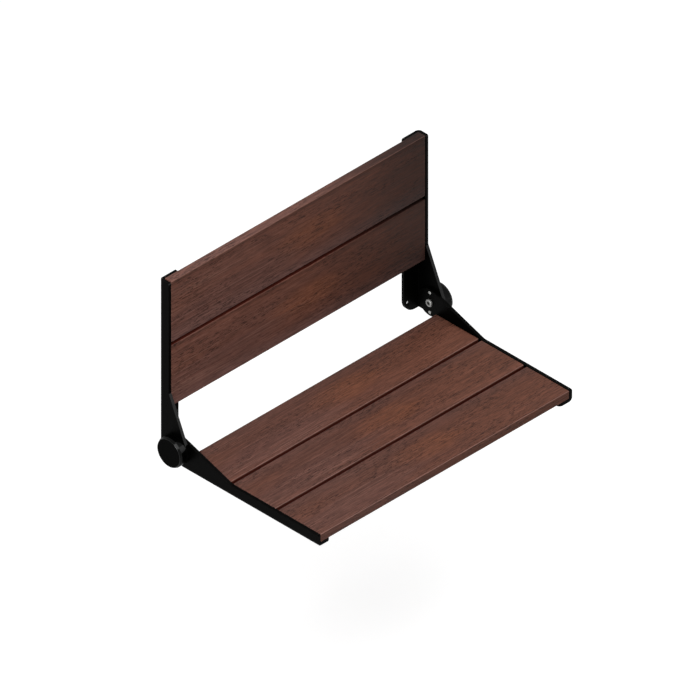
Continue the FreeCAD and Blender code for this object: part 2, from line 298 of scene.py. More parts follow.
@dataclass(frozen=True)
class Grain:
    """Noise drawn out along X: about how many marks lie in each metre along and across, and its detail.

    Where it has levels, it rises from 0 at the first to 1 at the second.
    """

    along: float
    across: float
    detail: float = 2.0
    roughness: float = 0.5
    warp: float = 0.0
    levels: tuple[float, float] | None = None

    def value(self, graph: Graph, shift: Triple) -> Field:
        """The noise in a graph, moved by a shift in metres."""
        where = graph.stretched((self.along, self.across, self.across), shift)
        noise = graph.noise(where, self.detail, self.roughness, self.warp)
        return noise if self.levels is None else noise.ramp(*self.levels)


@dataclass(frozen=True)
class Patch:
    """A soft-edged oval of another tone on a slat, in millimetres from the slat's middle."""

    along: float
    across: float
    reach_along: float
    reach_across: float
    share: float


class Tone(Enum):
    """The tones that a slat's patches take."""

    WARM = "orange brown heartwood"
    MAUVE = "cool greyish brown"


@dataclass(frozen=True)
class Cut:
    """What sets one slat's timber apart from the others'.

    Attributes:
        name: The material's name.
        low: The slat's lowest corner, in metres.
        high: Its highest corner.
        upright: Whether the slat's width runs along Z, as on the back, or along Y.
        shift: How far this slat's grain is moved, in metres, so that no two slats match.
        patches: The slow patches of each tone.
        tint: How light this slat is painted beside the others, to even out how the light falls on it.
        fade: The share of painted shade by which the slat darkens towards its right end.
    """

    name: str
    low: Vector
    high: Vector
    upright: bool
    shift: Triple
    patches: Mapping[Tone, Sequence[Patch]]
    tint: float
    fade: float


@dataclass(frozen=True)
class OiledTimber:
    """The look that all slats share: dark reddish hardwood with fine fibres and short pores along X.

    The weights add up to the grain's light, and the shares say how far each layer covers the last.
    """

    heart: Colour = from_srgb(99, 62, 50)
    shade: Colour = from_srgb(90, 56, 45)
    line: Colour = from_srgb(134, 98, 86)
    bloom: Colour = from_srgb(98, 71, 66)
    # Painted highlight and painted shade for the rounded edges that face towards and away from the light.
    eased: Colour = from_srgb(145, 109, 100)
    shadowed: Colour = from_srgb(48, 29, 25)
    # Painted shade: the colours of the walls between slats, darker towards the back's right end.
    gap: Colour = from_srgb(70, 22, 10)
    gap_end: Colour = from_srgb(24, 9, 5)
    warm: Colour = from_srgb(120, 72, 50)
    mauve: Colour = from_srgb(91, 61, 54)

    fibre: Grain = Grain(24.0, 330.0, 3.0, 0.65, levels=(0.3, 0.7))
    hair: Grain = Grain(20.0, 1000.0, levels=(0.3, 0.7))
    drift: Grain = Grain(4.0, 42.0, 3.0, 0.55, 0.5)
    grove: Grain = Grain(7.0, 26.0, levels=(0.4, 0.62))
    lines: Grain = Grain(3.0, 540.0, 1.0, 0.4, levels=(0.5, 0.66))
    vessel: Grain = Grain(90.0, 760.0, 2.0, 0.6, levels=(0.52, 0.64))

    plain_weight: float = 0.6
    fibre_weight: float = 0.54
    hair_weight: float = 0.26
    pore_depth: float = 0.55
    pores_apart: float = 0.4
    pores_in_groves: float = 0.9
    line_share: float = 0.06
    cool_line_share: float = 0.42
    bloom_share_upright: float = 0.8
    bloom_share_level: float = 0.3
    crest_bloom: float = 0.5
    # Painted shade: the strip just under an upright slat's top arris, and the darkening towards the right
    # end of its face and its top.
    crest_right_shade: float = 0.45
    arris_shade_depth: float = 0.3
    level_light: float = 0.98
    level_lean: float = 0.1
    fade_levels: tuple[float, float] = (-0.02, 0.33)
    eased_share: float = 0.5
    eased_fibre_share: float = 0.4
    shadowed_share: float = 0.85
    gap_share: float = 0.85
    gap_drift_share: float = 0.3
    gap_depth_upright: float = 2.5 * MM
    gap_depth_level: float = 4.5 * MM
    patch_drift: float = 1.6
    patch_edge: float = 1.3
    roughness: float = 0.5
    fibre_roughness: float = 0.14
    edge_polish: float = 0.06
    sheen: float = 0.08
    relief: float = 0.14 * MM

    def tone(self, tone: Tone) -> Colour:
        """The colour of a tone."""
        return self.warm if tone is Tone.WARM else self.mauve


class TimberShader:
    """Builds the shader of one slat in layers: its tones, its grain with painted light and shade, its edges
    with painted highlight and shade, and painted shade on the walls between slats.
    """

    def __init__(self, look: OiledTimber, cut: Cut) -> None:
        """Lays out the coordinates, noises and marks that the layers share."""
        self.look, self.cut = look, cut
        self.graph = graph = Graph.material(cut.name)
        self.x, self.y, self.z = graph.split()
        self.fibre = look.fibre.value(graph, cut.shift)
        self.hair = look.hair.value(graph, cut.shift)
        self.drift = look.drift.value(graph, cut.shift)
        self.pores = self.find_pores()
        self.lean = self.find_lean()
        self.crest = self.lean.ramp(0.985, 1.0)
        self.right = self.x.ramp(*look.fade_levels)
        self.edge = graph.mark(Board.EDGE)
        self.gap = self.find_gap_shade()

    def material(self) -> bpy.types.Material:
        """The slat's finished material."""
        look = self.look
        body = self.graph.blend(1.0, self.tones(), self.grain(), "MULTIPLY")
        roughness = look.roughness + look.fibre_roughness * self.fibre - look.edge_polish * self.edge
        height = self.fibre * 0.4 + self.hair * 0.2 + (1.0 - self.pores) * 0.4
        return self.graph.surface(
            {
                # The colour holds painted highlight and shade on the edges and painted shade on the walls
                # between slats.
                "Base Color": self.gap_walls(self.edges(body)),
                "Roughness": roughness.math("MAXIMUM", self.gap),
                "Specular IOR Level": look.sheen,
                "Normal": self.graph.bump(height, look.relief),
            }
        )

    def find_pores(self) -> Field:
        """Short dark pores, some apart and more of them in groves."""
        look, shift = self.look, self.cut.shift[::-1]
        groves = look.pores_apart + look.pores_in_groves * look.grove.value(self.graph, shift)
        return look.vessel.value(self.graph, shift) * groves

    def find_lean(self) -> Field:
        """1 at the top of an upright slat or the front of a level one, and -1 at the other long side."""
        low, high = self.cut.low, self.cut.high
        centre = (low + high) / 2
        if self.cut.upright:
            return (self.z - centre.z) / (high.z - centre.z)
        return (self.y - centre.y) / (low.y - centre.y)

    def find_gap_shade(self) -> Field:
        """Where shade is painted: 1 on a wall beside another slat, below a short run from the face that the
        sitter sees.
        """
        look, cut = self.look, self.cut
        if cut.upright:
            depth = (self.y - cut.low.y).ramp(0.0, look.gap_depth_upright)
        else:
            depth = (cut.high.z - self.z).ramp(0.0, look.gap_depth_level)
        return self.graph.mark(Board.GAP) * depth

    def tones(self) -> bpy.types.NodeSocket:
        """Heart and shade, patches, the bloom of one long side and pale lines in the cool patches."""
        look, graph = self.look, self.graph
        body, cool = graph.blend(self.drift.ramp(0.3, 0.7), look.shade, look.heart), 0.0
        for tone, places in self.cut.patches.items():
            for patch in places:
                share = self.oval(patch) * patch.share
                body = graph.blend(share, body, look.tone(tone))
                if tone is Tone.MAUVE:
                    cool = share.math("MAXIMUM", cool)
        share = look.bloom_share_upright if self.cut.upright else look.bloom_share_level
        body = graph.blend(self.lean.ramp(-0.4, -1.0) * share, body, look.bloom)
        if self.cut.upright:
            body = graph.blend(self.crest * look.crest_bloom, body, look.bloom)
        lines = look.lines.value(graph, self.cut.shift[::-1])
        return graph.blend(lines * (look.line_share + look.cool_line_share * cool), body, look.line)

    def oval(self, patch: Patch) -> Field:
        """1 in the middle of a patch and 0 outside, by the squared reach, with edges that drift."""
        look, centre = self.look, (self.cut.low + self.cut.high) / 2
        along = self.x - (centre.x + patch.along * MM)
        across = self.z - centre.z if self.cut.upright else self.y - centre.y
        across = across - patch.across * MM
        far = (along / (patch.reach_along * MM)) ** 2 + (across / (patch.reach_across * MM)) ** 2
        return (far + look.patch_drift * (self.drift - 0.5)).ramp(look.patch_edge, 0.0)

    def grain(self) -> Field:
        """The light that fibres, hairs and pores leave of the tones, and painted light and shade over the
        slat.

        Each slat is painted lighter or darker as a whole by how the light falls on it. A level slat grows
        lighter towards its front. An upright slat has painted shade just under its top arris, and painted
        shade that darkens it towards the right, most on its top.
        """
        look = self.look
        light = look.plain_weight + look.fibre_weight * self.fibre + look.hair_weight * self.hair
        # Painted light: each slat is made lighter or darker to even out how the light falls on it.
        light = light * (1.0 - look.pore_depth * self.pores) * self.cut.tint
        if not self.cut.upright:
            return light * (look.level_light + look.level_lean * self.lean)
        # Painted shade just under the top arris, and towards the right end.
        band = self.lean.ramp(0.82, 0.94) * self.lean.ramp(1.0, 0.975)
        light = light * (1.0 - look.arris_shade_depth * band) * (1.0 - self.cut.fade * self.right)
        return light * (1.0 - look.crest_right_shade * self.crest * self.right)

    def edges(self, body: bpy.types.NodeSocket) -> bpy.types.NodeSocket:
        """The body with painted highlight on the edges towards the light and painted shade on those away
        from it.
        """
        look = self.look
        pale = self.edge.ramp(0.0, 1.0) * (look.eased_share + look.eased_fibre_share * self.fibre)
        body = self.graph.blend(pale, body, look.eased)
        return self.graph.blend(self.edge.ramp(0.0, -0.35) * look.shadowed_share, body, look.shadowed)

    def gap_walls(self, body: bpy.types.NodeSocket) -> bpy.types.NodeSocket:
        """The body with painted shade on the walls in the gaps between slats, darkest at the back's right
        end.
        """
        look, dark = self.look, self.look.gap
        if self.cut.upright:
            dark = self.graph.blend(self.right, look.gap, look.gap_end)
        return self.graph.blend(self.gap * (look.gap_share + look.gap_drift_share * self.drift), body, dark)


@dataclass(frozen=True)
class PowderCoat:
    """Satin black powder coat: a fine pebbled skin, softened corners and slight rubbing along edges."""

    slot: Slot = Slot.FRAME
    name: str = "bracket_coat"
    black: Colour = (0.0007, 0.0007, 0.0006)
    worn: Colour = (0.012, 0.0115, 0.011)
    gloss: float = 0.015
    roughness: float = 0.34
    pebble: float = 900.0
    corner: float = 0.7 * MM
    wear_and_highlight_reach: float = 1.54 * MM
    wear_and_highlight_share: float = 0.7
    rim_gloss: float = 0.28
    rim_roughness: float = 0.2
    cap_side_gloss: float = 0.16

    def material(self) -> bpy.types.Material:
        """The coat of one kind of piece."""
        graph = Graph.material(self.name)
        pebbles = graph.mottle(self.pebble, roughness=0.55)
        cloud = graph.mottle(14.0, 3.0)
        flat = graph.node("ShaderNodeNewGeometry").outputs["Normal"]
        soft = self.rounded(graph, self.corner)
        edge = self.wear_and_highlight(graph, flat)
        rims = self.rims(graph, flat) * (0.8 + 0.4 * cloud) * self.rim_gloss if self.rim_gloss else 0.0
        return graph.surface(
            {
                "Base Color": graph.blend(edge * self.wear_and_highlight_share, self.black, self.worn),
                "Roughness": self.roughness + 0.1 * cloud + 0.12 * edge + 0.05 * pebbles,
                "Specular IOR Level": self.gloss,
                "Normal": graph.bump(pebbles, 0.06 * MM, soft),
                "Coat Weight": rims,
                "Coat Roughness": self.rim_roughness,
            }
        )

    def rounded(self, graph: Graph, radius: float) -> bpy.types.NodeSocket:
        """The surface's direction with its corners rounded to a radius in metres."""
        return graph.node("ShaderNodeBevel", {"samples": 6}, {"Radius": radius}).outputs[0]

    def wear_and_highlight(self, graph: Graph, flat: bpy.types.NodeSocket) -> Field:
        """Rubbed spots where a widely rounded corner turns away from the surface itself."""
        values = {0: self.rounded(graph, self.wear_and_highlight_reach), 1: flat}
        facing = graph.value("ShaderNodeVectorMath", {"operation": "DOT_PRODUCT"}, values, "Value")
        return (1.0 - facing).ramp(0.02, 0.22) * graph.mottle(120.0, 3.0, 0.6).ramp(0.35, 0.7)

    def rims(self, graph: Graph, flat: bpy.types.NodeSocket) -> Field:
        """Where the coat is smoothest: a turned cap's bevel, or the cut edges that slope on a plate.

        The bevel is found as the squared sine of twice its slope, and a cut edge as one that faces
        neither along the pivot nor level.
        """
        across, _, up = graph.split(flat)
        side, rise = across**2, up**2
        if self.slot is Slot.CAP:
            return (4.0 * side * (1.0 - side)).ramp(0.6, 0.95) + self.cap_side_gloss * (1.0 - side)
        return (1.0 - side) * rise.ramp(0.06, 0.2) * rise.ramp(0.7, 0.4)


class Lay(Enum):
    """Which way the fine marks of worked steel run."""

    TURNED = "round the pivot"
    PINNED = "round each stop pin"
    DRAWN = "along the piece"


@dataclass(frozen=True)
class BrightSteel:
    """Bright stainless steel with fine machining marks, clouded gloss and painted shade in its sockets."""

    tone: Colour = (0.36, 0.36, 0.35)
    dull: Colour = (0.25, 0.25, 0.24)
    # Painted shade for the hexagonal sockets.
    grease: Colour = (0.035, 0.033, 0.03)
    roughness: float = 0.38
    marks: float = 5200.0
    drawn_length: float = 90.0

    def material(self, name: str, lay: Lay, pivot: Vector, orbit: float = 0.0) -> bpy.types.Material:
        """The steel of one piece.

        Args:
            name: The material's name.
            lay: Which way the marks run.
            pivot: A point of the hinge's axis, in metres.
            orbit: How far the stop pins lie from that axis, in metres.

        Returns:
            The material.
        """
        graph = Graph.material(name)
        marks = graph.noise(self.grooves(graph, lay, pivot, orbit), 2.0, 0.6)
        cloud = graph.mottle(180.0, 3.0)
        specks = graph.mottle(2600.0, 1.0).ramp(0.62, 0.75)
        body = graph.blend(cloud.ramp(0.35, 0.75) * 0.5 + specks * 0.3, self.tone, self.dull)
        return graph.surface(
            {
                # Painted shade: the hexagonal sockets are darkened.
                "Base Color": graph.blend(graph.mark(Fastener.SOCKET) * 0.92, body, self.grease),
                "Metallic": 1.0,
                "Roughness": self.roughness + 0.16 * cloud + 0.08 * marks,
                "Normal": graph.bump(marks * 0.8 + specks * 0.2, 0.02 * MM),
            }
        )

    def grooves(self, graph: Graph, lay: Lay, pivot: Vector, orbit: float) -> bpy.types.NodeSocket:
        """Coordinates in which a mark is one unit wide, by distance from an axis or drawn out along X."""
        if lay is Lay.DRAWN:
            return graph.stretched((self.drawn_length, self.marks / 2, self.marks / 2))
        x, y, z = graph.split()
        along, rise = y - pivot.y, abs(z - pivot.z)
        if lay is Lay.PINNED:
            rise = rise - orbit
        reach = (along * along + rise * rise).root() * self.marks
        return graph.node("ShaderNodeCombineXYZ", {}, {"X": reach, "Y": x * self.marks}).outputs[0]


@dataclass(frozen=True)
class BearingPlastic:
    """Ivory bearing plastic with a faint mottle."""

    tone: Colour = from_srgb(196, 190, 174)
    stain: Colour = from_srgb(150, 143, 128)

    def material(self) -> bpy.types.Material:
        """The plastic of the bushes and friction washers."""
        graph = Graph.material(Slot.PLASTIC.value)
        mottle = graph.mottle(420.0, 3.0, 0.6)
        return graph.surface(
            {
                "Base Color": graph.blend(mottle.ramp(0.4, 0.75) * 0.6, self.tone, self.stain),
                "Roughness": 0.46 + 0.14 * mottle,
                "Specular IOR Level": 0.4,
                "Normal": graph.bump(mottle, 0.03 * MM),
            }
        )


def ring_mesh(name: str, grids: Sequence[np.ndarray]) -> bpy.types.Mesh:
    """Makes one closed mesh from grids of points whose columns close into rings.

    Args:
        name: The mesh's name.
        grids: Arrays of rows x columns x 3 in metres, whose first and last rows are single points.

    Returns:
        The mesh, its poles merged and its faces pointing outwards.
    """
    quads, start = [], 0
    for grid in grids:
        here = start + np.arange(grid.shape[0] * grid.shape[1]).reshape(grid.shape[:2])
        beside = np.roll(here, -1, axis=1)
        quads.append(np.stack([here[:-1], beside[:-1], beside[1:], here[1:]], axis=-1).reshape(-1, 4))
        start += here.size
    points = np.concatenate([grid.reshape(-1, 3) for grid in grids])
    mesh = bpy.data.meshes.new(name)
    mesh.from_pydata(points, [], np.concatenate(quads).tolist())
    work = bmesh.new()
    work.from_mesh(mesh)
    bmesh.ops.remove_doubles(work, verts=work.verts, dist=MERGE_DISTANCE)
    bmesh.ops.recalc_face_normals(work, faces=work.faces)
    work.to_mesh(mesh)
    work.free()
    mesh.shade_smooth()
    return mesh


def corners(mesh: bpy.types.Mesh) -> np.ndarray:
    """The mesh's points, as rows of three coordinates in metres."""
    points = np.empty(len(mesh.vertices) * 3, np.float32)
    mesh.vertices.foreach_get("co", points)
    return points.reshape(-1, 3)


def set_mark(mesh: bpy.types.Mesh, name: str, values: np.ndarray) -> None:
    """Gives each point of a mesh its value of a named attribute."""
    mark = mesh.attributes.new(name, "FLOAT", "POINT")
    mark.data.foreach_set("value", values.astype(np.float32))


def add_piece(
    mesh: bpy.types.Mesh, material: bpy.types.Material, body: Body, slot: Slot, *nodes: str
) -> bpy.types.Object:
    """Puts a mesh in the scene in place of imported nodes, riding on their body."""
    piece = bpy.data.objects.new(mesh.name, mesh)
    bpy.context.scene.collection.objects.link(piece)
    mesh.materials.append(material)
    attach(piece, body.value)
    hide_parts(*nodes)
    LOG.info("%s: %d faces, stands for %s", piece.name, len(mesh.polygons), ", ".join(nodes))
    return piece


@dataclass
class Board:
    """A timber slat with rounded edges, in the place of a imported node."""

    node: str
    edge_radius: float = 2.2
    arc_steps: int = 8
    lit: Triple = (0.0, -math.sqrt(0.5), math.sqrt(0.5))
    lit_from: float = 0.35
    lit_reach: float = 0.55
    wall_from: float = 0.75

    EDGE = "eased_edge"
    GAP = "gap_wall"

    def build(self, walls: Triple, beside: tuple[bool, bool], wear_and_highlight: float) -> bpy.types.Mesh:
        """The slat's mesh with exact normals, its rounded edges marked for painted highlight and shade, and
        its walls beside other slats marked for painted shade.

        Args:
            walls: The direction across the slats, from the first long side to the second.
            beside: Whether another slat lies beside the first long side, and beside the second.
            wear_and_highlight: How far the edges that face the light are painted pale as a highlight.

        Returns:
            The mesh.
        """
        low, high = (np.array(corner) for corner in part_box(self.node))
        centre, half = (low + high) / 2, (high - low) / 2
        mesh = ring_mesh(f"{self.node}_timber", [self.surface(half) + centre])
        normals = self.normals(corners(mesh) - centre, half)
        set_mark(mesh, self.EDGE, self.edges(normals, wear_and_highlight))
        set_mark(mesh, self.GAP, self.gap_walls(normals, walls, beside))
        mesh.normals_split_custom_set_from_vertices(normals.tolist())
        return mesh

    def edges(self, normals: np.ndarray, wear_and_highlight: float) -> np.ndarray:
        """1 where a rounded edge faces the light and takes painted highlight, down to -1 where it faces
        away and takes painted shade.
        """
        turned = (1 - np.abs(normals).max(axis=1)) / (1 - math.sqrt(0.5))
        edge = turned * np.clip((normals @ np.array(self.lit) - self.lit_from) / self.lit_reach, -1, 1)
        return np.where(edge > 0, edge * wear_and_highlight, edge)

    def gap_walls(self, normals: np.ndarray, walls: Triple, beside: tuple[bool, bool]) -> np.ndarray:
        """Where shade is painted: 1 on a long side that faces another slat, and 0 from where its edge turns
        away.
        """
        side = normals @ np.array(walls)
        facing = np.clip((np.abs(side) - self.wall_from) / (1 - self.wall_from), 0, 1)
        return np.where(side < 0, beside[0], beside[1]) * facing

    def surface(self, half: np.ndarray) -> np.ndarray:
        """A box with a ball rolled round its edges, as a grid of rings along X.

        Each ring is a rectangle of the flat faces with quarter circles at its corners. Over the last
        radius at each end, the circles' radius falls as the cosine of one angle and X grows as its sine.

        Args:
            half: Half the slat's length, depth and height in metres.

        Returns:
            Rows x columns x 3 points about the slat's centre.
        """
        radius = self.edge_radius * MM
        sweep = np.linspace(0, np.pi / 2, self.arc_steps + 1)
        round_x = np.concatenate([-sweep[::-1], sweep])
        end = np.concatenate([[-half[0] + radius] * sweep.size, [half[0] - radius] * sweep.size])
        quarter = np.arange(4)[:, None] * np.pi / 2 + sweep[None, :]
        signs = np.array([[1, 1], [-1, 1], [-1, -1], [1, -1]])
        core = np.repeat(signs * (half[1:] - radius), sweep.size, axis=0)
        turn = quarter.reshape(-1)
        swell = radius * np.cos(round_x)[:, None]
        x = np.broadcast_to((end + radius * np.sin(round_x))[:, None], (round_x.size, turn.size))
        y = core[:, 0] + swell * np.cos(turn)
        z = core[:, 1] + swell * np.sin(turn)
        rings = np.stack([x, y, z], axis=-1)
        caps = [np.zeros((1, turn.size, 3)) + (sign * half[0], 0, 0) for sign in (-1, 1)]
        return np.concatenate([caps[0], rings, caps[1]])

    def normals(self, points: np.ndarray, half: np.ndarray) -> np.ndarray:
        """The direction from the nearest point of the box inside the rounding to each point."""
        radius = self.edge_radius * MM
        inner = np.clip(points, radius - half, half - radius)
        out = points - inner
        return out / np.linalg.norm(out, axis=1, keepdims=True)


@dataclass
class Fastener:
    """A screw or bolt with a hexagonal socket in its head and a thread on its shank."""

    profile: Sequence[tuple[float, float]]
    socket_width: float
    socket_depth: float
    thread_from: float
    thread_to: float
    pitch: float
    thread_depth: float
    columns: int = 24

    SOCKET = "socket"
    SHARP = math.radians(40)
    MARGIN = 0.02
    STEPS_PER_TURN = 8

    def mesh(self, name: str, grids: Sequence[np.ndarray]) -> bpy.types.Mesh:
        """A mesh of copies of the fastener's grid, with creased edges and its sockets marked.

        The socket is what lies within its width and depth of its floor's middle, where a grid starts.
        """
        mesh = ring_mesh(name, grids)
        mesh.set_sharp_from_angle(angle=self.SHARP)
        points = corners(mesh)
        inside = np.zeros(len(points), bool)
        mouth = (self.socket_width / 2 / math.cos(math.pi / 6) + self.MARGIN) * MM
        floor = (self.socket_depth + self.MARGIN) * MM
        for grid in grids:
            off = points - grid[0, 0]
            axis = (grid[-1, 0] - grid[0, 0]) / np.linalg.norm(grid[-1, 0] - grid[0, 0])
            along = off @ axis
            far = np.linalg.norm(off - along[:, None] * axis, axis=1)
            inside |= (far < mouth) & (np.abs(along) < floor)
        set_mark(mesh, self.SOCKET, inside)
        return mesh

    def surface(self) -> np.ndarray:
        """The fastener as a surface of revolution about its axis, which runs from its head.

        Each ring's radius is the profile's at that depth. In the socket it is the hexagon's, half the
        width over the cosine of the angle from the middle of a flat. On the thread it falls towards the
        root by the distance from the ridge, which climbs one pitch for each turn.

        Returns:
            Rows x columns x 3 in millimetres: the depth along the axis and two coordinates across it.
        """
        depths, radii = np.array(self.profile).T
        steps = np.arange(self.thread_from, self.thread_to, self.pitch / self.STEPS_PER_TURN)
        kept = (depths <= self.thread_from) | (depths >= self.thread_to)
        threaded = np.interp(steps, depths, radii)
        order = np.argsort(np.concatenate([depths[kept], steps]), kind="stable")
        depth = np.concatenate([depths[kept], steps])[order]
        radius = np.concatenate([radii[kept], threaded])[order]
        turn = np.arange(self.columns) * 2 * np.pi / self.columns
        phase = depth[:, None] / self.pitch - turn[None, :] / (2 * np.pi)
        valley = np.abs(2 * (phase - np.floor(phase)) - 1)
        run_in = np.minimum(depth - self.thread_from, self.thread_to - depth) / self.pitch
        cut = np.clip(run_in, 0, 1)[:, None] * valley * self.thread_depth
        rings = np.maximum(radius[:, None] - cut, 0)
        flat = np.pi / 3
        hexagon = self.socket_width / 2 / np.cos((turn + flat / 2) % flat - flat / 2)
        mouth = np.stack([np.zeros_like(turn), hexagon, hexagon])
        depth = np.concatenate([[self.socket_depth, self.socket_depth, depth[0]], depth])
        rings = np.concatenate([mouth, rings])
        across = np.broadcast_to(depth[:, None], rings.shape)
        return np.stack([across, rings * np.cos(turn), rings * np.sin(turn)], axis=-1)


@dataclass
class SlatScrews:
    """The countersunk screws that hold one body's slats, each grid placed at its head."""

    name: str
    node: str
    slats: Sequence[str]
    body: Body
    from_middle: float
    from_edge: float = 22.0
    plate: float = 6.35
    screw: Fastener = field(
        default_factory=lambda: Fastener(
            profile=[(0, 4.5), (2.25, 2.25), (17.25, 2.25), (20.25, 0.3), (20.25, 0)],
            socket_width=3.0,
            socket_depth=1.6,
            thread_from=6.4,
            thread_to=18.5,
            pitch=1.8,
            thread_depth=0.6,
        )
    )

    def build(self) -> bpy.types.Mesh:
        """All the screws in one mesh."""
        grid = self.screw.surface() * MM
        return self.screw.mesh(self.name, [self.stand(grid, start) for start in self.starts()])

    def starts(self) -> list[np.ndarray]:
        """Where each screw's head lies: two across each slat, at both ends."""
        found, across = [], 2 if self.body is Body.WALL_FRAME else 1
        for slat in self.slats:
            low, high = (np.array(corner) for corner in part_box(slat))
            for edge in (low[across] + self.from_edge * MM, high[across] - self.from_edge * MM):
                start = np.array([0.0, high[1], low[2]])
                start[across] = edge
                start[3 - across] += self.plate * MM * (1 if across == 2 else -1)
                found += [start + (side.value * self.from_middle * MM, 0, 0) for side in Side]
        return found

    def stand(self, grid: np.ndarray, start: np.ndarray) -> np.ndarray:
        """A screw's grid turned to run forwards from the wall, or upwards, from its start."""
        depth, first, second = np.moveaxis(grid, -1, 0)
        if self.body is Body.WALL_FRAME:
            return np.stack([first, -depth, second], axis=-1) + start
        return np.stack([first, second, depth], axis=-1) + start


@dataclass
class PivotBolt:
    """The low head bolt of one hinge, its head on the washer that lies on the arm's inner face.

    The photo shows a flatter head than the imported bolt's, so the head takes less than its room.
    """

    side: Side
    pivot: Vector
    head_room: float = 4.4
    head_height: float = 1.8
    head_rim: float = 1.2
    head_radius: float = 7.1
    crown_radius: float = 6.2
    crown_bulge: float = 0.12
    shank_radius: float = 4.0
    end_chamfer: float = 0.6
    thread_length: float = 14.0

    def build(self) -> bpy.types.Mesh:
        """The bolt's mesh: its crown is an arc through three points of the head's side."""
        low, high = (np.array(corner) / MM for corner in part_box(self.side.node("pivot_bolt")))
        spare = self.head_room - self.head_height
        length = high[0] - low[0] - spare
        head_face = (high[0] if self.side is Side.LEFT else low[0]) + self.side.value * spare
        bolt = Fastener(
            profile=[*self.crown(), (self.head_height, self.head_radius), *self.shank(length)],
            socket_width=5.0,
            socket_depth=2.6,
            thread_from=length - self.thread_length,
            thread_to=length - self.end_chamfer,
            pitch=1.25,
            thread_depth=0.5,
            columns=48,
        )
        depth, first, second = np.moveaxis(bolt.surface(), -1, 0)
        grid = np.stack([head_face + self.side.value * depth, first, second], axis=-1) * MM
        return bolt.mesh(self.side.node("pivot_bolt_turned"), [grid + (0, self.pivot.y, self.pivot.z)])

    def crown(self, steps: int = 9) -> list[tuple[float, float]]:
        """Depth and radius down the crowned side: a chord with a bulge that grows as a sine."""
        share = np.linspace(0, 1, steps)
        slope = self.head_height - self.head_rim
        depth = share * slope - self.crown_bulge * np.sin(np.pi * share)
        radius = self.crown_radius + share * (self.head_radius - self.crown_radius)
        radius = radius + self.crown_bulge * np.sin(np.pi * share)
        return list(zip(np.maximum(depth, 0).tolist(), np.minimum(radius, self.head_radius).tolist()))

    def shank(self, length: float) -> list[tuple[float, float]]:
        """Depth and radius from under the head to the bolt's chamfered end."""
        end = self.shank_radius - self.end_chamfer
        shank = [(self.head_height, self.shank_radius), (length - self.end_chamfer, self.shank_radius)]
        return [*shank, (length, end), (length, 0)]


@dataclass
class Slats:
    """The timber slats of one body, each with a grain of its own."""

    body: Body
    nodes: Sequence[str]
    # Each slat's painted lightness, which evens out how the light falls on it.
    slat_painted_lightness: Sequence[float]
    # How strongly each slat's edges take the painted highlight.
    wear_and_highlight: Sequence[float]
    # Painted shade towards the right end of each slat.
    fade: float = 0.0
    look: OiledTimber = field(default_factory=OiledTimber)

    FIRST_SHIFT = (0.37, 0.113, 0.142)
    NEXT_SHIFT = (0.91, 0.113, 0.071)
    BACK_SHIFT = 2.6
    WANDER = 14.0

    def build(self) -> None:
        """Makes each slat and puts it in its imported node's place."""
        upright = self.body is Body.WALL_FRAME
        walls = (0.0, 0.0, 1.0) if upright else (0.0, 1.0, 0.0)
        for index, node in enumerate(self.nodes):
            cut = Cut(
                f"{node}_timber",
                *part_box(node),
                upright,
                self.shift(index),
                self.patches(index),
                self.slat_painted_lightness[index],
                self.fade,
            )
            beside = (index < len(self.nodes) - 1, index > 0)
            board = Board(node).build(walls, beside, self.wear_and_highlight[index])
            add_piece(board, TimberShader(self.look, cut).material(), self.body, Slot.TIMBER, node)

    def shift(self, index: int) -> Triple:
        """How far one slat's grain is moved, in metres."""
        body = self.BACK_SHIFT if self.body is Body.WALL_FRAME else 0.0
        return tuple(first + index * step + body for first, step in zip(self.FIRST_SHIFT, self.NEXT_SHIFT))

    def patches(self, index: int) -> dict[Tone, list[Patch]]:
        """The slow patches of one slat, which wander a little along it from slat to slat."""
        off = self.WANDER * math.sin(2.4 * index + 0.6)
        warm = [
            Patch(along=20 + off, across=2, reach_along=95, reach_across=30, share=0.5),
            Patch(along=-275 - off, across=10, reach_along=50, reach_across=26, share=0.2),
        ]
        mauve = [
            Patch(along=-190 + off, across=-26, reach_along=190, reach_across=34, share=0.7),
            Patch(along=-240, across=0, reach_along=260, reach_across=90, share=0.4),
        ]
        if self.body is Body.SEAT:
            warm.append(Patch(along=215 + off, across=-4, reach_along=150, reach_across=60, share=0.16))
        return {Tone.WARM: warm, Tone.MAUVE: mauve}


@dataclass
class Hinge:
    """One end's hinge: bolt, washer, pins, disc, springs, nut, sleeve, bush, friction washers and cap."""

    side: Side
    pivot: Vector
    pin_orbit: float = 21.4
    steel: BrightSteel = field(default_factory=BrightSteel)

    def dress(self, cap: bpy.types.Material, plastic: bpy.types.Material) -> None:
        """Gives each of the hinge's pieces its finish."""
        orbit = self.pin_orbit * MM
        turned = self.steel.material(self.side.node("turned_steel"), Lay.TURNED, self.pivot)
        pins = self.steel.material(self.side.node("pin_steel"), Lay.PINNED, self.pivot, orbit)
        bolt = PivotBolt(self.side, self.pivot)
        add_piece(bolt.build(), turned, Body.SEAT, Slot.STEEL, self.side.node("pivot_bolt"))
        for piece in ("bolt_washer", "pivot_sleeve", "stop_disc", "disc_springs", "lock_nut"):
            coat(self.side.node(piece), turned)
        coat(self.side.node("stop_pins"), pins)
        coat(self.side.node("hinge_cap"), cap)
        for piece in ("pivot_bush", "friction_washers"):
            coat(self.side.node(piece), plastic)


def coat(node: str, material: bpy.types.Material) -> None:
    """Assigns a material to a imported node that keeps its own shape."""
    piece = bpy.data.objects[node]
    piece.data.materials.clear()
    piece.data.materials.append(material)
    LOG.info("%s: %s", node, material.name)


